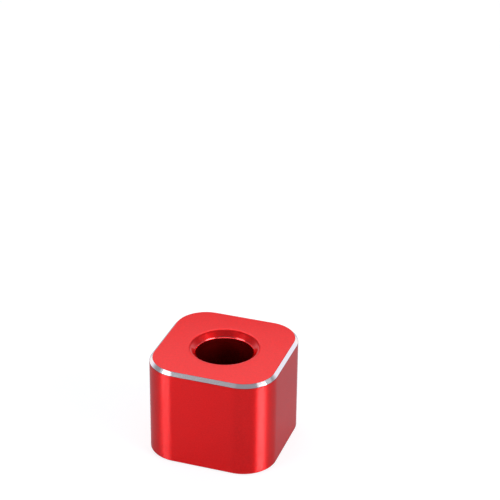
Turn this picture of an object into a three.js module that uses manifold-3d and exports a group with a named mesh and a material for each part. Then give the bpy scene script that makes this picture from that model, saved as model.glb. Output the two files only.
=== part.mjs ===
// Pen stand: a block of anodised aluminium with a flared well sunk in its top, a bright-cut edge
// round the top face, a felt disc on the floor of the well and a non-slip rubber foot in the base.
// Millimetres, +Z up. The origin is the middle of the foot's underside, where the stand rests.
import * as THREE from "three";
import { mergeVertices } from "three/addons/utils/BufferGeometryUtils.js";
import Module from "manifold-3d";

const wasm = await Module();
wasm.setup();

// Block, a square with rounded corners seen from above
const blockWidth = 45;
const blockHeight = 35;
const blockCornerRadius = 11.8;
const chamferInset = 1.15; // bright-cut edge, measured in from the side
const chamferDrop = 1.3; // and down from the top face
const baseEdgeRadius = 0.3; // softened edge round the underside

// Well, the round hole in the middle of the top
const wellDiameter = 19.5;
const wellFloorThickness = 2.1; // metal left between the well and the foot's pocket
const wellFloorRadius = 0.5; // left in the corner by the milling cutter
const flareWidth = 2.5; // how far the flare opens the mouth, on each side
const flareAngle = THREE.MathUtils.degToRad(45); // slope of the flare, up from level
const flareRimRadius = 1; // round from the flare onto the top face
const flareThroatRadius = 1; // round from the wall of the well into the flare

// Felt disc on the floor of the well, stuck down by a disc of film
const discThickness = 1.3;
const discClearance = 0.1; // all round, to the cutter's round in the corner of the floor
const discEdgeRadius = 0.3;
const discFilmThickness = 0.2;
const discFilmInset = 0.6; // film's edge, in from the disc's

// Rubber foot, stuck by a sheet of film into a shallow pocket under the block
const pocketInset = 3.4; // pocket's wall, in from the side of the block
const footClearance = 0.3; // all round, to the wall of the pocket
const footThickness = 1.5;
const footEdgeRadius = 0.35;
const footStandoff = 0.3; // how far the foot stands out below the block
const footFilmThickness = 0.2;
const footFilmInset = 0.8; // film's edge, in from the foot's

// Fineness of the round surfaces
const cornerDivisions = 9; // half the steps in each corner of the square
const edgeDivisions = 2; // half the steps in each small round
const turnSegments = 96; // steps round the well
const cutOverrun = 2; // how far a cutter runs past the face that it enters

const quarterTurn = Math.PI / 2;
const blockTop = footStandoff + blockHeight;
const pocketCeiling = footThickness + footFilmThickness;
const wellRadius = wellDiameter / 2;
const wellFloor = pocketCeiling + wellFloorThickness;
const footInset = pocketInset + footClearance;
const discRadius = wellRadius - wellFloorRadius - discClearance;
const discBase = wellFloor + discFilmThickness;

// Outline of the block at one height: a square with rounded corners, drawn in by an inset.
function blockOutline(inset) {
  const radius = blockCornerRadius - inset;
  const middle = blockWidth / 2 - blockCornerRadius; // a corner's centre, along X and along Y
  const outline = new THREE.Path();
  outline.absarc(middle, middle, radius, 0, quarterTurn);
  outline.absarc(-middle, middle, radius, quarterTurn, Math.PI);
  outline.absarc(-middle, -middle, radius, Math.PI, Math.PI + quarterTurn);
  outline.absarc(middle, -middle, radius, Math.PI + quarterTurn, 2 * Math.PI);
  return outline.getPoints(cornerDivisions);
}

// Solid lofted through the block's outline. Levels run upwards, each an inset at a height.
function loft(levels) {
  const rings = levels.map(({ inset }) => blockOutline(inset));
  const count = rings[0].length;
  const positions = rings.flatMap((ring, level) =>
    ring.flatMap((point) => [point.x, point.y, levels[level].z]),
  );
  const index = [];
  for (let level = 0; level + 1 < rings.length; level++) {
    for (let step = 0; step < count; step++) {
      const low = level * count + step;
      const lowNext = level * count + ((step + 1) % count);
      const high = low + count;
      const highNext = lowNext + count;
      index.push(low, lowNext, highNext, low, highNext, high);
    }
  }
  const topStart = (rings.length - 1) * count;
  for (const [a, b, c] of THREE.ShapeUtils.triangulateShape(rings[0], [])) {
    index.push(a, c, b);
    index.push(topStart + a, topStart + b, topStart + c);
  }
  return new THREE.BufferGeometry()
    .setAttribute("position", new THREE.Float32BufferAttribute(positions, 3))
    .setIndex(index);
}

// Levels of a rounded lower edge, from the bottom up to the full outline at that inset.
function roundedBase(radius, inset, bottom) {
  const arc = new THREE.Path();
  arc.absarc(0, radius, radius, -quarterTurn, 0);
  return arc.getPoints(edgeDivisions).map((point) => ({
    inset: inset + radius - point.x,
    z: bottom + point.y,
  }));
}

// Solid of revolution about Z. The profile runs up from the axis and back to it.
function turned(profile) {
  return new THREE.LatheGeometry(profile, turnSegments).rotateX(quarterTurn);
}

// Closed three.js geometry as a solid that can be cut. Triangles that shrink to a line where a
// turned surface meets its axis are left out.
function toSolid(geometry) {
  const bare = geometry.clone();
  bare.deleteAttribute("normal");
  bare.deleteAttribute("uv");
  const merged = mergeVertices(bare);
  const corners = merged.index.array;
  const triangles = [];
  for (let i = 0; i < corners.length; i += 3) {
    const [a, b, c] = corners.slice(i, i + 3);
    if (a !== b && b !== c && c !== a) triangles.push(a, b, c);
  }
  return new wasm.Manifold(
    new wasm.Mesh({
      numProp: 3,
      vertProperties: merged.attributes.position.array,
      triVerts: new Uint32Array(triangles),
    }),
  );
}

// Cut solid as three.js geometry again.
function toGeometry(solid) {
  const mesh = solid.getMesh();
  return new THREE.BufferGeometry()
    .setAttribute("position", new THREE.BufferAttribute(mesh.vertProperties, 3))
    .setIndex(new THREE.BufferAttribute(mesh.triVerts, 1));
}

// Cutter for the well: floor, wall and flare, each running into the next by a small round.
function wellCutter() {
  const facing = quarterTurn + flareAngle; // direction that the flare's surface faces
  const floorCentreX = wellRadius - wellFloorRadius;
  const floorCentreY = wellFloor + wellFloorRadius;
  const rimCentreX = wellRadius + flareWidth;
  const rimCentreY = blockTop - flareRimRadius;
  const throatCentreX = wellRadius + flareThroatRadius;
  const flareRun =
    rimCentreX - throatCentreX + (flareRimRadius - flareThroatRadius) * Math.cos(facing);
  const flareRise = flareRun * Math.tan(flareAngle);
  const throatCentreY =
    rimCentreY - flareRise + (flareRimRadius - flareThroatRadius) * Math.sin(facing);
  const profile = new THREE.Path();
  profile.moveTo(0, wellFloor);
  profile.lineTo(floorCentreX, wellFloor);
  profile.absarc(floorCentreX, floorCentreY, wellFloorRadius, -quarterTurn, 0);
  profile.absarc(throatCentreX, throatCentreY, flareThroatRadius, Math.PI, facing, true);
  profile.absarc(rimCentreX, rimCentreY, flareRimRadius, facing, quarterTurn, true);
  profile.lineTo(rimCentreX, blockTop + cutOverrun);
  profile.lineTo(0, blockTop + cutOverrun);
  return toSolid(turned(profile.getPoints(edgeDivisions)));
}

// Block, with the well sunk from above and the pocket for the foot from below.
function makeBlock() {
  const outside = loft([
    ...roundedBase(baseEdgeRadius, 0, footStandoff),
    { inset: 0, z: blockTop - chamferDrop },
    { inset: chamferInset, z: blockTop },
  ]);
  const pocket = loft([
    { inset: pocketInset, z: footStandoff - cutOverrun },
    { inset: pocketInset, z: pocketCeiling },
  ]);
  return toGeometry(toSolid(outside).subtract(wellCutter()).subtract(toSolid(pocket)));
}

// Disc with its upper edge softened.
function makeDisc() {
  const top = discBase + discThickness;
  const roundX = discRadius - discEdgeRadius;
  const roundY = top - discEdgeRadius;
  const profile = new THREE.Path();
  profile.moveTo(0, discBase);
  profile.lineTo(discRadius, discBase);
  profile.absarc(roundX, roundY, discEdgeRadius, 0, quarterTurn);
  profile.lineTo(0, top);
  return turned(profile.getPoints(edgeDivisions));
}

function makeDiscFilm() {
  const radius = discRadius - discFilmInset;
  return turned([
    new THREE.Vector2(0, wellFloor),
    new THREE.Vector2(radius, wellFloor),
    new THREE.Vector2(radius, discBase),
    new THREE.Vector2(0, discBase),
  ]);
}

// Foot with its lower edge softened.
function makeFoot() {
  return loft([
    ...roundedBase(footEdgeRadius, footInset, 0),
    { inset: footInset, z: footThickness },
  ]);
}

function makeFootFilm() {
  const inset = footInset + footFilmInset;
  return loft([
    { inset, z: footThickness },
    { inset, z: pocketCeiling },
  ]);
}

const anodisedRed = new THREE.MeshStandardMaterial({
  name: "anodised_red",
  color: 0xd41c20,
  metalness: 1,
  roughness: 0.38,
});
const blackFelt = new THREE.MeshStandardMaterial({
  name: "black_felt",
  color: 0x202124,
  metalness: 0,
  roughness: 0.95,
});
const blackRubber = new THREE.MeshStandardMaterial({
  name: "black_rubber",
  color: 0x17181a,
  metalness: 0,
  roughness: 0.85,
});
const adhesiveFilm = new THREE.MeshStandardMaterial({
  name: "adhesive_film",
  color: 0xcfc9b8,
  metalness: 0,
  roughness: 0.5,
});

function piece(name, geometry, material) {
  geometry.computeVertexNormals();
  const mesh = new THREE.Mesh(geometry, material);
  mesh.name = name;
  return mesh;
}

const penStand = new THREE.Group();
penStand.name = "pen_stand";
penStand.add(
  piece("block", makeBlock(), anodisedRed),
  piece("felt_disc", makeDisc(), blackFelt),
  piece("felt_disc_film", makeDiscFilm(), adhesiveFilm),
  piece("rubber_foot", makeFoot(), blackRubber),
  piece("rubber_foot_film", makeFootFilm(), adhesiveFilm),
);

export default penStand;
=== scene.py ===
import math

import bpy
from mathutils import Matrix, Vector


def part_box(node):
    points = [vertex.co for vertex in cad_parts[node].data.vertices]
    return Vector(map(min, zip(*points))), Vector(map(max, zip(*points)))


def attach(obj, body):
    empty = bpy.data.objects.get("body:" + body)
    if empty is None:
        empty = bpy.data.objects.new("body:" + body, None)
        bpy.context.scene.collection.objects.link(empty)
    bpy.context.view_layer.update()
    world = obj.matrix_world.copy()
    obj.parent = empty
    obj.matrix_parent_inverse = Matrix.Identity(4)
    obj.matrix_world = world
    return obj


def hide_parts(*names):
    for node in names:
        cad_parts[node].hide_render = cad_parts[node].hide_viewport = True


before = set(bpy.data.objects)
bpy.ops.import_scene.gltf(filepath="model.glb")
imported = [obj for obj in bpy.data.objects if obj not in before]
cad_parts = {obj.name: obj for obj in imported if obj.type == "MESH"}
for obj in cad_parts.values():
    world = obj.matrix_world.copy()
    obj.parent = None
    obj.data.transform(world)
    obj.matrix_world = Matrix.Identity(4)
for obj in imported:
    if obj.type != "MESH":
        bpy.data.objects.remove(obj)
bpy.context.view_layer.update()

# Units and the places that the frame gives
MM = 0.001
BLOCK_LOW, BLOCK_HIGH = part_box("block")
DISC_LOW, DISC_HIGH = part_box("felt_disc")
FOOT_LOW, FOOT_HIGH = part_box("rubber_foot")
WELL_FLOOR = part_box("felt_disc_film")[0].z
POCKET_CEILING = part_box("rubber_foot_film")[1].z
BLOCK_WIDTH = BLOCK_HIGH.x - BLOCK_LOW.x
BLOCK_BASE = BLOCK_LOW.z
BLOCK_TOP = BLOCK_HIGH.z
DISC_RADIUS = (DISC_HIGH.x - DISC_LOW.x) / 2
FOOT_WIDTH = FOOT_HIGH.x - FOOT_LOW.x
FOOT_INSET = (BLOCK_WIDTH - FOOT_WIDTH) / 2

# Block
CORNER_RADIUS = 11.8 * MM
CORNER_STEPS = 47
CHAMFER_INSET = 1.15 * MM
CHAMFER_DROP = 1.3 * MM
CHAMFER_SLOPE = math.atan2(CHAMFER_INSET, CHAMFER_DROP)  # how far its face turns up from upright
BROKEN_EDGE = 0.1 * MM  # fine round where the bright cut meets the coloured faces
BROKEN_EDGE_STEPS = 3
BASE_EDGE_RADIUS = 0.3 * MM
FOOT_CLEARANCE = 0.3 * MM  # all round, to the wall of the pocket
POCKET_INSET = FOOT_INSET - FOOT_CLEARANCE
POCKET_EDGE = 0.12 * MM

# Well
WELL_FLOOR_RADIUS = 0.5 * MM
DISC_CLEARANCE = 0.1 * MM  # all round, to the round in the corner of the floor
WELL_RADIUS = DISC_RADIUS + DISC_CLEARANCE + WELL_FLOOR_RADIUS
FLARE_WIDTH = 2.75 * MM  # to the outer end of the rim's round
FLARE_ANGLE = math.radians(45)
RIM_RADIUS = 1.6 * MM
THROAT_RADIUS = 1.3 * MM
MOUTH_RADIUS = WELL_RADIUS + FLARE_WIDTH
MOUTH_DEPTH = 4 * MM  # the throat lies within it
ROUND_STEPS = 6

# Felt disc and rubber foot
DISC_EDGE_RADIUS = 0.3 * MM
DISC_SIDES = 96
DISC_RING = 0.3 * MM  # width of the rings that carry the felt's unevenness
FELT_DIP = 0.16 * MM  # how deep the felt's hollows are, below its full height
FELT_LUMP = 1.4 * MM  # and how far apart
FOOT_CORNER_RADIUS = CORNER_RADIUS - FOOT_INSET
FOOT_EDGE_RADIUS = 0.35 * MM
FOOT_CORNER_STEPS = 24

# Finishes: sizes of their grain, and pairs of colours or of roughness that they run between
MOTTLE = 0.5 * MM  # cloudiness of the dye
EDGE_MOTTLE = 0.35 * MM  # finer on the narrow edges
BLASTING = 0.12 * MM  # pits that the blasting left
BLASTING_DEPTH = 0.004 * MM
DYED_RED = ((0.89, 0.0005, 0.001), (0.99, 0.0045, 0.0055))
DYED_ROUGHNESS = (0.35, 0.41)
OXIDE_COVER = (1.0, 0.84)
OXIDE_IOR = 1.41
OXIDE_ROUGHNESS = 0.15
DYE_SHEEN = (1.0, 0.3, 0.3, 1)  # colour of the dyed metal seen at a flat angle
# dark red painted as a line of shade along the edge under the bright cut
EDGE_RED_PAINTED_SHADE = ((0.30, 0.001, 0.004), (0.40, 0.002, 0.006))
EDGE_ROUGHNESS = (0.35, 0.45)
BURNISHED_RED = ((0.90, 0.035, 0.036), (0.96, 0.050, 0.051))
BURNISHED_ROUGHNESS = (0.15, 0.22)
BURNISHED_OXIDE_ROUGHNESS = 0.05
CUTTER_RINGS = (5 * MM, 5 * MM, 0.12 * MM)
CUTTER_RING_DEPTH = 0.006 * MM
# darker red of the well's wall and floor: painted shade deep in the well
BORED_RED_PAINTED_SHADE = ((0.34, 0.005, 0.004), (0.44, 0.009, 0.008))
BORED_ROUGHNESS = (0.40, 0.52)
CUT_MARKS = (7 * MM, 7 * MM, 0.05 * MM)
CUT_MARK_DEPTH = 0.0006 * MM
BARE_METAL = ((0.92, 0.85, 0.86), (0.98, 0.91, 0.91))
CUT_ROUGHNESS = (0.08, 0.15)
FIBRES_ALONG = (1.1 * MM, 0.06 * MM, 0.2 * MM)
FIBRES_ACROSS = (0.07 * MM, 1.2 * MM, 0.2 * MM)
CURL_ALONG, CURL_ACROSS = 1.6, 1.8
FIBRE_DEPTH = 0.14 * MM
TUFT = 0.7 * MM
# near black between the fibres: painted shade in the gaps
FELT_GAP_PAINTED_SHADE = (0.001, 0.001, 0.001)
FELT_BLACK = ((0.022, 0.022, 0.024), (0.062, 0.062, 0.067))
FELT_ROUGHNESS = 0.95
FELT_FUZZ = 0.3
RUBBER_PIT = 0.22 * MM
RUBBER_PIT_DEPTH = 0.06 * MM
RUBBER_CLOUD = 4 * MM
RUBBER_BLACK = ((0.008, 0.008, 0.009), (0.016, 0.016, 0.018))
RUBBER_ROUGHNESS = (0.45, 0.75)
FILM_CLOUD = 1.5 * MM
FILM_CREAM = ((0.59, 0.56, 0.46), (0.69, 0.66, 0.57))
FILM_ROUGHNESS = (0.4, 0.6)
NOISE_LOW, NOISE_HIGH = 0.3, 0.7  # range that most of a noise texture's values fall in

# Camera, fitted to the block's edges in the photograph
PHOTO_WIDTH = 500
FOCAL_PIXELS = 1697.8
CAMERA_PLACE = Vector((167.74, -472.28, 328.42)) * MM
CAMERA_YAW = math.radians(18.604)
CAMERA_PITCH = math.radians(27.059)
CAMERA_ROLL = math.radians(0.626)
SENSOR_WIDTH = 36.0

# Studio, with azimuths from +X towards +Y and elevations above level, in degrees
LIGHT_DISTANCE = 1.2
COOL_LIGHT = (0.88, 1.06, 1.10)
NEUTRAL_LIGHT = (1.0, 1.0, 1.0)
CANOPY_RADIUS = 3.0
CANOPY_RIM = 8
HORIZON_TOP = 10  # where the white round the horizon starts to fade into the canopy
CANOPY_START = 24
CANOPY_COLOUR = (0.92, 0.96, 1.08, 1)
CANOPY_GLOW = 0.3
FLOOR_SIZE = 12
FLOOR_COLOUR = (0.665, 0.665, 0.68, 1)
FLOOR_COLOUR_SEEN = (0.36, 0.37, 0.37, 1)
FLOOR_GLOW_SEEN = 0.76
FLOOR_FADE_START = 0.2
FLOOR_FADE_END = 0.8
FLOOR_GAP = 0.01 * MM  # keeps the floor clear of the foot's underside
FLOOR_ROUGHNESS = 0.15
FLOOR_GLOSS_IOR = 2.8
FLOOR_GLOSS_ROUGHNESS = 0.1
FILL = 0.5  # light that the world gives outside the canopy

QUARTER = math.pi / 2
SMOOTH_ANGLE = math.radians(30)
TINY = 0.001 * MM  # two heights count as the same within this
NEAR = 0.02 * MM  # and two radii within this
LIKE = 0.02  # and two slopes where the upward parts of their normals differ by less


# Modelling

def pick(piece, mode, wanted):
    """In edit mode, selects the faces, edges or vertices that are wanted.

    The test is given a face's centre and normal, an edge's two ends, or a vertex's place.
    """
    bpy.ops.object.mode_set(mode="EDIT")
    bpy.ops.mesh.select_mode(type=mode)
    bpy.ops.mesh.select_all(action="DESELECT")
    bpy.ops.object.mode_set(mode="OBJECT")
    mesh = piece.data
    if mode == "FACE":
        answers = [(face, wanted(face.center, face.normal)) for face in mesh.polygons]
    elif mode == "EDGE":
        ends = [[mesh.vertices[i].co for i in edge.vertices] for edge in mesh.edges]
        answers = [(edge, wanted(*pair)) for edge, pair in zip(mesh.edges, ends)]
    else:
        answers = [(vertex, wanted(vertex.co)) for vertex in mesh.vertices]
    for element, chosen in answers:
        element.select = chosen
    bpy.ops.object.mode_set(mode="EDIT")
    if not any(chosen for element, chosen in answers):
        raise RuntimeError(f"nothing was picked on {piece.name}")


def on_level(z):
    """True for points that all lie at the height z."""
    return lambda *points: all(abs(point.z - z) < TINY for point in points)


def push(rise):
    """Extrudes what is selected straight up, or down if rise is negative."""
    bpy.ops.mesh.extrude_region_move(TRANSFORM_OT_translate={"value": (0, 0, rise)})


def rounded_square(width, corner_radius, corner_steps, z):
    """A face in the shape of a square with round corners, left in edit mode and selected."""
    bpy.ops.object.select_all(action="DESELECT")
    bpy.ops.mesh.primitive_plane_add(size=width, location=(0, 0, z))
    bpy.ops.object.transform_apply(location=True, rotation=True, scale=True)
    bpy.ops.object.mode_set(mode="EDIT")
    bpy.ops.mesh.select_all(action="SELECT")
    bpy.ops.mesh.bevel(offset=corner_radius, segments=corner_steps, affect="VERTICES", profile=0.5)
    return bpy.context.object


def finish_shape(piece, name):
    """Closes and names a piece, with normals that keep its flat faces flat."""
    bpy.ops.object.mode_set(mode="EDIT")
    bpy.ops.mesh.select_all(action="SELECT")
    bpy.ops.mesh.remove_doubles(threshold=TINY)
    bpy.ops.mesh.normals_make_consistent(inside=False)
    bpy.ops.object.mode_set(mode="OBJECT")
    bpy.ops.object.shade_smooth_by_angle(angle=SMOOTH_ANGLE)
    bpy.ops.object.modifier_add(type="WEIGHTED_NORMAL")
    piece.modifiers[-1].keep_sharp = True
    bpy.ops.object.modifier_apply(modifier=piece.modifiers[-1].name)
    piece.name = name
    piece.data.name = name


def place_on_frame(piece, node):
    """Lets a piece stand for the CAD node: hangs it on the root and hides the node."""
    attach(piece, "root")
    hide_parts(node)


# Block

def arc(centre_x, centre_z, radius, start, end):
    """Points of an arc in the profile's plane, both ends included."""
    angles = [start + (end - start) * step / ROUND_STEPS for step in range(ROUND_STEPS + 1)]
    return [(centre_x + radius * math.cos(a), centre_z + radius * math.sin(a)) for a in angles]


def well_profile():
    """Radius and height of each ring of the well, from the rim down to the floor."""
    facing = QUARTER + FLARE_ANGLE
    rim_z = BLOCK_TOP - RIM_RADIUS
    throat_x = WELL_RADIUS + THROAT_RADIUS
    flare_run = MOUTH_RADIUS - throat_x + (RIM_RADIUS - THROAT_RADIUS) * math.cos(facing)
    flare_rise = flare_run * math.tan(FLARE_ANGLE)
    throat_z = rim_z - flare_rise + (RIM_RADIUS - THROAT_RADIUS) * math.sin(facing)
    floor_x = WELL_RADIUS - WELL_FLOOR_RADIUS
    floor_z = WELL_FLOOR + WELL_FLOOR_RADIUS
    rim = arc(MOUTH_RADIUS, rim_z, RIM_RADIUS, QUARTER, facing)
    throat = arc(throat_x, throat_z, THROAT_RADIUS, facing, math.pi)
    floor = arc(floor_x, floor_z, WELL_FLOOR_RADIUS, 0, -QUARTER)
    return rim + throat + floor


def outline_radius(point):
    """Corner radius of the block's outline, drawn in or not, that passes through a point."""
    middle = BLOCK_WIDTH / 2 - CORNER_RADIUS
    return Vector((max(abs(point.x) - middle, 0), max(abs(point.y) - middle, 0))).length


def on_outline(z, inset=0.0):
    """True for points that all lie on the block's outline at the height z, drawn in by an inset."""
    radius = CORNER_RADIUS - inset
    return lambda *points: on_level(z)(*points) and all(
        abs(outline_radius(point) - radius) < NEAR for point in points
    )


def soften(piece, z, inset, width, steps):
    """Rounds the edges that lie on the block's outline at one height."""
    pick(piece, "EDGE", on_outline(z, inset))
    bpy.ops.mesh.bevel(offset=width, segments=steps, affect="EDGES", profile=0.5)


def sink_well(piece):
    """Opens the top face to a ring and draws the ring down the profile of the well."""
    profile = well_profile()
    outline = [vertex for vertex in piece.data.vertices if on_level(BLOCK_TOP)(vertex.co)]
    pick(piece, "FACE", lambda centre, normal: on_level(BLOCK_TOP)(centre))
    bpy.ops.mesh.delete(type="ONLY_FACE")
    bpy.ops.mesh.select_mode(type="EDGE")
    # The ring starts out above the face, because a bridge can't tell which way round
    # a level one runs.
    ring_z = BLOCK_TOP + RIM_RADIUS
    bpy.ops.mesh.primitive_circle_add(
        vertices=len(outline), radius=MOUTH_RADIUS, location=(0, 0, ring_z)
    )
    pick(piece, "EDGE", lambda *ends: on_level(BLOCK_TOP)(*ends) or on_level(ring_z)(*ends))
    bpy.ops.mesh.bridge_edge_loops()
    pick(piece, "EDGE", on_level(ring_z))
    bpy.ops.transform.translate(value=(0, 0, BLOCK_TOP - ring_z))
    for (radius, z), (next_radius, next_z) in zip(profile, profile[1:]):
        push(next_z - z)
        shrink = next_radius / radius
        bpy.ops.transform.resize(value=(shrink, shrink, 1), center_override=(0, 0, 0))
    bpy.ops.mesh.edge_face_add()


def sink_pocket(piece):
    """Shallow recess under the block that holds the foot."""
    pick(piece, "FACE", lambda centre, normal: on_level(BLOCK_BASE)(centre))
    bpy.ops.mesh.inset(thickness=POCKET_INSET, use_even_offset=True)
    push(POCKET_CEILING - BLOCK_BASE)


def model_block():
    block = rounded_square(BLOCK_WIDTH, CORNER_RADIUS, CORNER_STEPS, BLOCK_BASE)
    push(BLOCK_TOP - CHAMFER_DROP - BLOCK_BASE)
    bpy.ops.mesh.inset(thickness=CHAMFER_INSET, depth=CHAMFER_DROP, use_even_offset=True)
    bpy.ops.object.mode_set(mode="OBJECT")
    sink_well(block)
    sink_pocket(block)
    soften(block, BLOCK_TOP, CHAMFER_INSET, BROKEN_EDGE, BROKEN_EDGE_STEPS)
    soften(block, BLOCK_TOP - CHAMFER_DROP, 0.0, BROKEN_EDGE, BROKEN_EDGE_STEPS)
    soften(block, BLOCK_BASE, 0.0, BASE_EDGE_RADIUS, ROUND_STEPS)
    soften(block, BLOCK_BASE, POCKET_INSET, POCKET_EDGE, BROKEN_EDGE_STEPS)
    finish_shape(block, "machined_block")
    return block


def faces_out(centre, normal):
    return centre.xy.dot(normal.xy) > 0


def is_chamfer(centre, normal):
    """The bright-cut face round the top."""
    sloped = abs(normal.z - math.sin(CHAMFER_SLOPE)) < LIKE
    return sloped and faces_out(centre, normal) and centre.z > BLOCK_TOP - CHAMFER_DROP


def is_edge_below_chamfer(centre, normal):
    """The broken edge between the chamfer and the side."""
    near_edge = abs(centre.z - (BLOCK_TOP - CHAMFER_DROP)) < BROKEN_EDGE
    turned_up = TINY < normal.z < math.sin(CHAMFER_SLOPE) - LIKE
    return near_edge and turned_up and faces_out(centre, normal)


def is_bore(centre, normal):
    """The wall and the floor of the well."""
    return centre.xy.length < WELL_RADIUS + NEAR and POCKET_CEILING + NEAR < centre.z


def is_throat(centre, normal):
    """The round from the flare into the wall of the well."""
    on_round = WELL_RADIUS < centre.xy.length < WELL_RADIUS + THROAT_RADIUS
    off_flare = normal.z < math.cos(FLARE_ANGLE) - LIKE
    in_mouth = centre.z > BLOCK_TOP - MOUTH_DEPTH
    return on_round and off_flare and in_mouth and not faces_out(centre, normal)


def paint_faces(block, material, wanted):
    """Adds a material to the block and gives it to the faces that are wanted."""
    block.data.materials.append(material)
    pick(block, "FACE", wanted)
    block.active_material_index = len(block.data.materials) - 1
    bpy.ops.object.material_slot_assign()
    bpy.ops.object.mode_set(mode="OBJECT")


def paint_block(block):
    block.data.materials.append(anodised_red())
    paint_faces(block, bright_cut(), is_chamfer)
    # the well's wall and floor take the red with painted shade
    paint_faces(block, bored_red_painted_shade(), is_bore)
    # the edge under the bright cut takes a painted line of shade
    paint_faces(block, edge_red_painted_shade(), is_edge_below_chamfer)
    paint_faces(block, burnished_red(), is_throat)


# Felt disc

def model_felt_disc():
    """Disc with a soft upper edge, its top in rings so that it can be slightly uneven."""
    bpy.ops.object.select_all(action="DESELECT")
    bpy.ops.mesh.primitive_circle_add(
        vertices=DISC_SIDES, radius=DISC_RADIUS, fill_type="NGON", location=(0, 0, DISC_LOW.z)
    )
    disc = bpy.context.object
    bpy.ops.object.transform_apply(location=True, rotation=True, scale=True)
    bpy.ops.object.mode_set(mode="EDIT")
    bpy.ops.mesh.select_all(action="SELECT")
    push(DISC_HIGH.z - DISC_LOW.z)
    bpy.ops.object.mode_set(mode="OBJECT")
    pick(disc, "EDGE", on_level(DISC_HIGH.z))
    bpy.ops.mesh.bevel(offset=DISC_EDGE_RADIUS, segments=ROUND_STEPS, affect="EDGES", profile=0.5)
    pick(disc, "FACE", lambda centre, normal: on_level(DISC_HIGH.z)(centre))
    rings = int((DISC_RADIUS - DISC_EDGE_RADIUS) / DISC_RING) - 1
    for ring in range(rings):
        bpy.ops.mesh.inset(thickness=DISC_RING, use_even_offset=True)
    bpy.ops.mesh.poke()
    dent_top(disc)
    finish_shape(disc, "felt_tip_disc")
    return disc


def dent_top(disc):
    """Leaves the top of the felt uneven, with hollows only, so that it stays within its height."""
    bpy.ops.object.mode_set(mode="OBJECT")
    pick(disc, "VERT", on_level(DISC_HIGH.z))
    bpy.ops.object.vertex_group_assign_new()
    bpy.ops.object.mode_set(mode="OBJECT")
    bpy.ops.object.modifier_add(type="DISPLACE")
    dents = disc.modifiers[-1]
    dents.texture = bpy.data.textures.new("felt_lumps", "CLOUDS")
    dents.texture.noise_scale = FELT_LUMP
    dents.direction = "Z"
    dents.mid_level = 1.0
    dents.strength = FELT_DIP
    dents.vertex_group = disc.vertex_groups[-1].name
    bpy.ops.object.modifier_apply(modifier=dents.name)


# Rubber foot

def model_foot():
    foot = rounded_square(FOOT_WIDTH, FOOT_CORNER_RADIUS, FOOT_CORNER_STEPS, FOOT_LOW.z)
    push(FOOT_HIGH.z - FOOT_LOW.z)
    bpy.ops.object.mode_set(mode="OBJECT")
    pick(foot, "EDGE", on_level(FOOT_LOW.z))
    bpy.ops.mesh.bevel(offset=FOOT_EDGE_RADIUS, segments=ROUND_STEPS, affect="EDGES", profile=0.5)
    finish_shape(foot, "non_slip_foot")
    return foot


# Materials

def new_material(name):
    material = bpy.data.materials.new(name)
    material.use_nodes = True
    tree = material.node_tree
    surface = tree.nodes["Principled BSDF"]
    place = tree.nodes.new("ShaderNodeTexCoord").outputs["Object"]
    return material, tree, surface, place


def make_grain_group():
    """Shader group for grain of any size: a shade from 0 to 1, and a height for a relief."""
    group = bpy.data.node_groups.new("grain", "ShaderNodeTree")
    sockets = group.interface
    sockets.new_socket(name="Place", in_out="INPUT", socket_type="NodeSocketVector")
    sockets.new_socket(name="Grain Size", in_out="INPUT", socket_type="NodeSocketVector")
    sockets.new_socket(name="Detail", in_out="INPUT", socket_type="NodeSocketFloat")
    sockets.new_socket(name="Distortion", in_out="INPUT", socket_type="NodeSocketFloat")
    sockets.new_socket(name="Shade", in_out="OUTPUT", socket_type="NodeSocketFloat")
    sockets.new_socket(name="Height", in_out="OUTPUT", socket_type="NodeSocketFloat")
    given = group.nodes.new("NodeGroupInput")
    result = group.nodes.new("NodeGroupOutput")
    scale = group.nodes.new("ShaderNodeVectorMath")
    scale.operation = "DIVIDE"
    noise = group.nodes.new("ShaderNodeTexNoise")
    noise.inputs["Scale"].default_value = 1.0
    shade = group.nodes.new("ShaderNodeMapRange")
    shade.inputs["From Min"].default_value = NOISE_LOW
    shade.inputs["From Max"].default_value = NOISE_HIGH
    group.links.new(given.outputs["Place"], scale.inputs[0])
    group.links.new(given.outputs["Grain Size"], scale.inputs[1])
    group.links.new(scale.outputs["Vector"], noise.inputs["Vector"])
    group.links.new(given.outputs["Detail"], noise.inputs["Detail"])
    group.links.new(given.outputs["Distortion"], noise.inputs["Distortion"])
    group.links.new(noise.outputs["Fac"], shade.inputs["Value"])
    group.links.new(shade.outputs["Result"], result.inputs["Shade"])
    group.links.new(noise.outputs["Fac"], result.inputs["Height"])


def grain(tree, place, size, detail=2.0, distortion=0.0):
    """Grain whose size is one length, or three lengths along X, Y and Z."""
    node = tree.nodes.new("ShaderNodeGroup")
    node.node_tree = bpy.data.node_groups["grain"]
    node.inputs["Grain Size"].default_value = size if isinstance(size, tuple) else (size,) * 3
    node.inputs["Detail"].default_value = detail
    node.inputs["Distortion"].default_value = distortion
    tree.links.new(place, node.inputs["Place"])
    return node.outputs


def spread(tree, shade, low, high):
    """Value that runs from low to high as the shade rises."""
    node = tree.nodes.new("ShaderNodeMapRange")
    node.inputs["To Min"].default_value = low
    node.inputs["To Max"].default_value = high
    tree.links.new(shade, node.inputs["Value"])
    return node.outputs["Result"]


def between(tree, shade, first, second):
    """Colour that runs from the first to the second, which may vary itself, as the shade rises."""
    node = tree.nodes.new("ShaderNodeMix")
    node.data_type = "RGBA"
    node.inputs["A"].default_value = (*first, 1)
    if isinstance(second, tuple):
        node.inputs["B"].default_value = (*second, 1)
    else:
        tree.links.new(second, node.inputs["B"])
    tree.links.new(shade, node.inputs["Factor"])
    return node.outputs["Result"]


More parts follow.
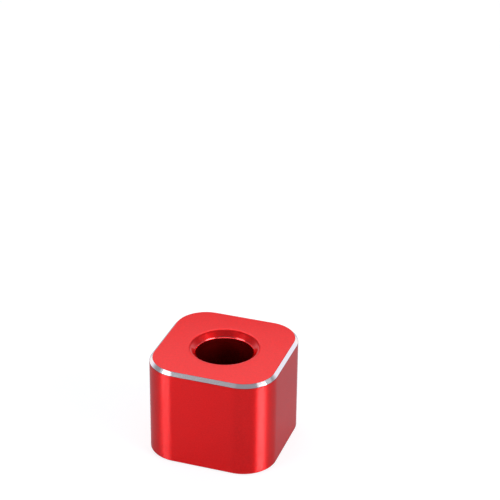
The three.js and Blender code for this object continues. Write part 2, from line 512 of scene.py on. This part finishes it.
def raised(tree, shade, other):
    """The higher of two shades at each point, as where strands lie over one another."""
    node = tree.nodes.new("ShaderNodeMath")
    node.operation = "MAXIMUM"
    tree.links.new(shade, node.inputs[0])
    tree.links.new(other, node.inputs[1])
    return node.outputs["Value"]


def relief(tree, height, depth):
    """Normal of a surface that rises and falls by the given depth."""
    node = tree.nodes.new("ShaderNodeBump")
    node.inputs["Distance"].default_value = depth
    tree.links.new(height, node.inputs["Height"])
    return node.outputs["Normal"]


def dyed_metal(surface):
    surface.inputs["Metallic"].default_value = 1.0
    surface.inputs["Specular Tint"].default_value = DYE_SHEEN


def clear_oxide(surface, roughness=OXIDE_ROUGHNESS):
    """Clear anodic layer over the dyed metal."""
    surface.inputs["Coat Weight"].default_value = 1.0
    surface.inputs["Coat IOR"].default_value = OXIDE_IOR
    surface.inputs["Coat Roughness"].default_value = roughness


def anodised_red():
    """Fine bead-blasted aluminium, dyed red."""
    material, tree, surface, place = new_material("anodised_red")
    mottle = grain(tree, place, MOTTLE, detail=4)["Shade"]
    blasting = grain(tree, place, BLASTING)["Height"]
    tree.links.new(between(tree, mottle, *DYED_RED), surface.inputs["Base Color"])
    tree.links.new(spread(tree, mottle, *DYED_ROUGHNESS), surface.inputs["Roughness"])
    tree.links.new(spread(tree, mottle, *OXIDE_COVER), surface.inputs["Coat Weight"])
    tree.links.new(relief(tree, blasting, BLASTING_DEPTH), surface.inputs["Normal"])
    dyed_metal(surface)
    clear_oxide(surface)
    return material


def edge_red_painted_shade():
    """Narrow edge under the bright cut, painted dark red as a line of shade."""
    material, tree, surface, place = new_material("edge_red_painted_shade")
    mottle = grain(tree, place, EDGE_MOTTLE, detail=3)["Shade"]
    tree.links.new(between(tree, mottle, *EDGE_RED_PAINTED_SHADE), surface.inputs["Base Color"])
    tree.links.new(spread(tree, mottle, *EDGE_ROUGHNESS), surface.inputs["Roughness"])
    dyed_metal(surface)
    return material


def burnished_red():
    """Edge between the flare and the wall of the well, rubbed paler and smoother in use."""
    material, tree, surface, place = new_material("burnished_red")
    mottle = grain(tree, place, EDGE_MOTTLE, detail=3)["Shade"]
    tree.links.new(between(tree, mottle, *BURNISHED_RED), surface.inputs["Base Color"])
    tree.links.new(spread(tree, mottle, *BURNISHED_ROUGHNESS), surface.inputs["Roughness"])
    dyed_metal(surface)
    clear_oxide(surface, BURNISHED_OXIDE_ROUGHNESS)
    return material


def bored_red_painted_shade():
    """Wall of the well, with the rings that the cutter left, its red painted darker as shade deep
    in the well.
    """
    material, tree, surface, place = new_material("bored_red_painted_shade")
    rings = grain(tree, place, CUTTER_RINGS, detail=3)
    tree.links.new(between(tree, rings["Shade"], *BORED_RED_PAINTED_SHADE), surface.inputs["Base Color"])
    tree.links.new(spread(tree, rings["Shade"], *BORED_ROUGHNESS), surface.inputs["Roughness"])
    tree.links.new(relief(tree, rings["Height"], CUTTER_RING_DEPTH), surface.inputs["Normal"])
    dyed_metal(surface)
    clear_oxide(surface)
    return material


def bright_cut():
    """Bare metal, cut bright, with fine marks of the cutter along the edge."""
    material, tree, surface, place = new_material("bright_cut")
    marks = grain(tree, place, CUT_MARKS, detail=3)
    tree.links.new(between(tree, marks["Shade"], *BARE_METAL), surface.inputs["Base Color"])
    tree.links.new(spread(tree, marks["Shade"], *CUT_ROUGHNESS), surface.inputs["Roughness"])
    tree.links.new(relief(tree, marks["Height"], CUT_MARK_DEPTH), surface.inputs["Normal"])
    surface.inputs["Metallic"].default_value = 1.0
    return material


def black_felt():
    """Pressed felt, with long fine fibres that lie across one another, and painted shade in the
    gaps between them.
    """
    material, tree, surface, place = new_material("black_felt")
    along = grain(tree, place, FIBRES_ALONG, distortion=CURL_ALONG)["Shade"]
    across = grain(tree, place, FIBRES_ACROSS, distortion=CURL_ACROSS)["Shade"]
    fibres = raised(tree, along, across)
    tufts = grain(tree, place, TUFT, detail=3)["Shade"]
    fibre_colour = between(tree, tufts, *FELT_BLACK)
    # the gaps between the fibres take a near-black painted shade
    tree.links.new(between(tree, fibres, FELT_GAP_PAINTED_SHADE, fibre_colour), surface.inputs["Base Color"])
    tree.links.new(relief(tree, fibres, FIBRE_DEPTH), surface.inputs["Normal"])
    surface.inputs["Roughness"].default_value = FELT_ROUGHNESS
    surface.inputs["Sheen Weight"].default_value = FELT_FUZZ
    return material


def black_rubber():
    """Soft rubber with a fine moulded texture."""
    material, tree, surface, place = new_material("black_rubber")
    pits = grain(tree, place, RUBBER_PIT, detail=3)
    clouding = grain(tree, place, RUBBER_CLOUD, detail=4)["Shade"]
    tree.links.new(between(tree, clouding, *RUBBER_BLACK), surface.inputs["Base Color"])
    tree.links.new(spread(tree, pits["Shade"], *RUBBER_ROUGHNESS), surface.inputs["Roughness"])
    tree.links.new(relief(tree, pits["Height"], RUBBER_PIT_DEPTH), surface.inputs["Normal"])
    return material


def adhesive_film():
    """Cloudy double-sided film."""
    material, tree, surface, place = new_material("adhesive_film")
    cloud = grain(tree, place, FILM_CLOUD, detail=3)["Shade"]
    tree.links.new(between(tree, cloud, *FILM_CREAM), surface.inputs["Base Color"])
    tree.links.new(spread(tree, cloud, *FILM_ROUGHNESS), surface.inputs["Roughness"])
    return material


# Studio

def towards(azimuth, elevation):
    """Unit vector, with the azimuth in degrees from +X towards +Y and the elevation above level."""
    a, e = math.radians(azimuth), math.radians(elevation)
    return Vector((math.cos(a) * math.cos(e), math.sin(a) * math.cos(e), math.sin(e)))


def soft_light(name, azimuth, elevation, width, height, radiance, colour=NEUTRAL_LIGHT):
    """Soft box that faces the stand, with its width and height as angles and its own brightness."""
    light = bpy.data.lights.new(name, "AREA")
    light.shape = "RECTANGLE"
    light.size = 2 * LIGHT_DISTANCE * math.tan(math.radians(width / 2))
    light.size_y = 2 * LIGHT_DISTANCE * math.tan(math.radians(height / 2))
    light.energy = radiance * math.pi * light.size * light.size_y
    light.color = colour
    lamp = bpy.data.objects.new(name, light)
    bpy.context.scene.collection.objects.link(lamp)
    aim = towards(azimuth, elevation)
    lamp.location = aim * LIGHT_DISTANCE + Vector((0, 0, BLOCK_TOP / 2))
    lamp.rotation_euler = aim.to_track_quat("Z", "Y").to_euler()
    lamp.visible_camera = False


def hang_lights():
    soft_light("left_softbox", -134, 22, 34, 13, 5.0, COOL_LIGHT)
    soft_light("left_softbox_middle", -134, 31, 20, 8, 2.0, COOL_LIGHT)
    soft_light("left_softbox_top", -134, 37, 28, 17, 1.1, COOL_LIGHT)
    soft_light("left_softbox_edge", -153, 37, 10, 17, 0.3, COOL_LIGHT)
    soft_light("right_softbox", -12, 22, 36, 13, 5.8, COOL_LIGHT)
    soft_light("right_softbox_middle", -12, 32, 19, 9, 6.0, COOL_LIGHT)
    soft_light("right_softbox_top", -10, 33, 32, 10, 2.8, COOL_LIGHT)
    soft_light("right_softbox_edge", 24, 33, 20, 14, 0.28, COOL_LIGHT)
    soft_light("right_reflector", -1, 43, 26, 10, 0.6)
    soft_light("left_high_panel", -113, 49, 15, 14, 0.08)
    soft_light("back_panel", 109, 36, 36, 12, 0.97)
    soft_light("back_high_panel", 109, 56, 44, 22, 1.68)
    soft_light("camera_side_panel", -74, 13, 60, 15, 1.3)
    soft_light("overhead_panel", 109, 84, 40, 26, 0.2)


def canopy_light():
    """White round the horizon, which fades upwards into a dim and cooler glow."""
    material = bpy.data.materials.new("canopy")
    material.use_nodes = True
    tree = material.node_tree
    tree.nodes.clear()
    place = tree.nodes.new("ShaderNodeTexCoord").outputs["Object"]
    height = tree.nodes.new("ShaderNodeSeparateXYZ")
    tree.links.new(place, height.inputs["Vector"])
    shade = tree.nodes.new("ShaderNodeMapRange")
    shade.interpolation_type = "SMOOTHSTEP"
    shade.inputs["From Min"].default_value = CANOPY_RADIUS * towards(0, HORIZON_TOP).z
    shade.inputs["From Max"].default_value = CANOPY_RADIUS * towards(0, CANOPY_START).z
    shade.inputs["To Min"].default_value = 1.0
    shade.inputs["To Max"].default_value = CANOPY_GLOW
    tree.links.new(height.outputs["Z"], shade.inputs["Value"])
    glow = tree.nodes.new("ShaderNodeEmission")
    glow.inputs["Color"].default_value = CANOPY_COLOUR
    tree.links.new(shade.outputs["Result"], glow.inputs["Strength"])
    end = tree.nodes.new("ShaderNodeOutputMaterial")
    tree.links.new(glow.outputs["Emission"], end.inputs["Surface"])
    return material


def make_canopy():
    bpy.ops.object.select_all(action="DESELECT")
    bpy.ops.mesh.primitive_uv_sphere_add(segments=64, ring_count=32, radius=CANOPY_RADIUS)
    canopy = bpy.context.object
    canopy.name = "ceiling"
    bpy.ops.object.mode_set(mode="EDIT")
    bpy.ops.mesh.select_all(action="SELECT")
    rim = CANOPY_RADIUS * towards(0, CANOPY_RIM).z
    bpy.ops.mesh.bisect(plane_co=(0, 0, rim), plane_no=(0, 0, 1), clear_inner=True)
    bpy.ops.object.mode_set(mode="OBJECT")
    canopy.data.materials.append(canopy_light())
    canopy.visible_camera = False


def floor_finish():
    """Glossy pale table. The camera sees it as plain white that keeps the stand's shadow."""
    material, tree, surface, place = new_material("floor")
    surface.inputs["Base Color"].default_value = FLOOR_COLOUR
    surface.inputs["Roughness"].default_value = FLOOR_ROUGHNESS
    surface.inputs["Coat Weight"].default_value = 1.0
    surface.inputs["Coat IOR"].default_value = FLOOR_GLOSS_IOR
    surface.inputs["Coat Roughness"].default_value = FLOOR_GLOSS_ROUGHNESS
    matt = tree.nodes.new("ShaderNodeBsdfDiffuse")
    matt.inputs["Color"].default_value = FLOOR_COLOUR_SEEN
    glow = tree.nodes.new("ShaderNodeEmission")
    glow.inputs["Strength"].default_value = FLOOR_GLOW_SEEN
    near = tree.nodes.new("ShaderNodeAddShader")
    tree.links.new(matt.outputs["BSDF"], near.inputs[0])
    tree.links.new(glow.outputs["Emission"], near.inputs[1])
    seen = tree.nodes.new("ShaderNodeMixShader")
    tree.links.new(far_from_stand(tree, place), seen.inputs["Fac"])
    tree.links.new(near.outputs["Shader"], seen.inputs[1])
    tree.links.new(tree.nodes.new("ShaderNodeEmission").outputs["Emission"], seen.inputs[2])
    path = tree.nodes.new("ShaderNodeLightPath")
    mix = tree.nodes.new("ShaderNodeMixShader")
    tree.links.new(path.outputs["Is Camera Ray"], mix.inputs["Fac"])
    tree.links.new(surface.outputs["BSDF"], mix.inputs[1])
    tree.links.new(seen.outputs["Shader"], mix.inputs[2])
    tree.links.new(mix.outputs["Shader"], tree.nodes["Material Output"].inputs["Surface"])
    return material


def far_from_stand(tree, place):
    """Rises from 0 near the stand to 1 where the floor runs into the white background."""
    distance = tree.nodes.new("ShaderNodeVectorMath")
    distance.operation = "LENGTH"
    tree.links.new(place, distance.inputs[0])
    fade = tree.nodes.new("ShaderNodeMapRange")
    fade.interpolation_type = "SMOOTHSTEP"
    fade.inputs["From Min"].default_value = FLOOR_FADE_START
    fade.inputs["From Max"].default_value = FLOOR_FADE_END
    tree.links.new(distance.outputs["Value"], fade.inputs["Value"])
    return fade.outputs["Result"]


def make_floor():
    bpy.ops.object.select_all(action="DESELECT")
    bpy.ops.mesh.primitive_plane_add(size=FLOOR_SIZE, location=(0, 0, -FLOOR_GAP))
    floor = bpy.context.object
    floor.name = "floor"
    floor.data.materials.append(floor_finish())


def make_world():
    """White round the set for the camera and in reflections, and a dimmer fill as light."""
    world = bpy.data.worlds.new("studio")
    bpy.context.scene.world = world
    world.use_nodes = True
    tree = world.node_tree
    tree.nodes.clear()
    path = tree.nodes.new("ShaderNodeLightPath")
    seen = tree.nodes.new("ShaderNodeMath")
    seen.operation = "MAXIMUM"
    tree.links.new(path.outputs["Is Camera Ray"], seen.inputs[0])
    tree.links.new(path.outputs["Is Glossy Ray"], seen.inputs[1])
    through = tree.nodes.new("ShaderNodeMath")
    through.operation = "MAXIMUM"
    tree.links.new(seen.outputs["Value"], through.inputs[0])
    tree.links.new(path.outputs["Is Transmission Ray"], through.inputs[1])
    fill = tree.nodes.new("ShaderNodeBackground")
    fill.inputs["Strength"].default_value = FILL
    white = tree.nodes.new("ShaderNodeBackground")
    white.inputs["Color"].default_value = (1, 1, 1, 1)
    mix = tree.nodes.new("ShaderNodeMixShader")
    tree.links.new(through.outputs["Value"], mix.inputs["Fac"])
    tree.links.new(fill.outputs["Background"], mix.inputs[1])
    tree.links.new(white.outputs["Background"], mix.inputs[2])
    end = tree.nodes.new("ShaderNodeOutputWorld")
    tree.links.new(mix.outputs["Shader"], end.inputs["Surface"])


def make_camera():
    data = bpy.data.cameras.new("camera")
    data.sensor_width = SENSOR_WIDTH
    data.lens = FOCAL_PIXELS / PHOTO_WIDTH * SENSOR_WIDTH
    data.clip_start = 0.01
    camera = bpy.data.objects.new("camera", data)
    bpy.context.scene.collection.objects.link(camera)
    turn = (
        Matrix.Rotation(CAMERA_YAW, 4, "Z")
        @ Matrix.Rotation(QUARTER - CAMERA_PITCH, 4, "X")
        @ Matrix.Rotation(CAMERA_ROLL, 4, "Z")
    )
    camera.matrix_world = Matrix.Translation(CAMERA_PLACE) @ turn
    bpy.context.scene.camera = camera


make_camera()
make_world()
make_floor()
make_canopy()
hang_lights()

make_grain_group()

block = model_block()
paint_block(block)
place_on_frame(block, "block")

disc = model_felt_disc()
disc.data.materials.append(black_felt())
place_on_frame(disc, "felt_disc")

foot = model_foot()
foot.data.materials.append(black_rubber())
place_on_frame(foot, "rubber_foot")

film = adhesive_film()
for node in ("felt_disc_film", "rubber_foot_film"):
    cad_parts[node].data.materials.clear()
    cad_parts[node].data.materials.append(film)

bpy.context.scene.view_settings.view_transform = "Standard"
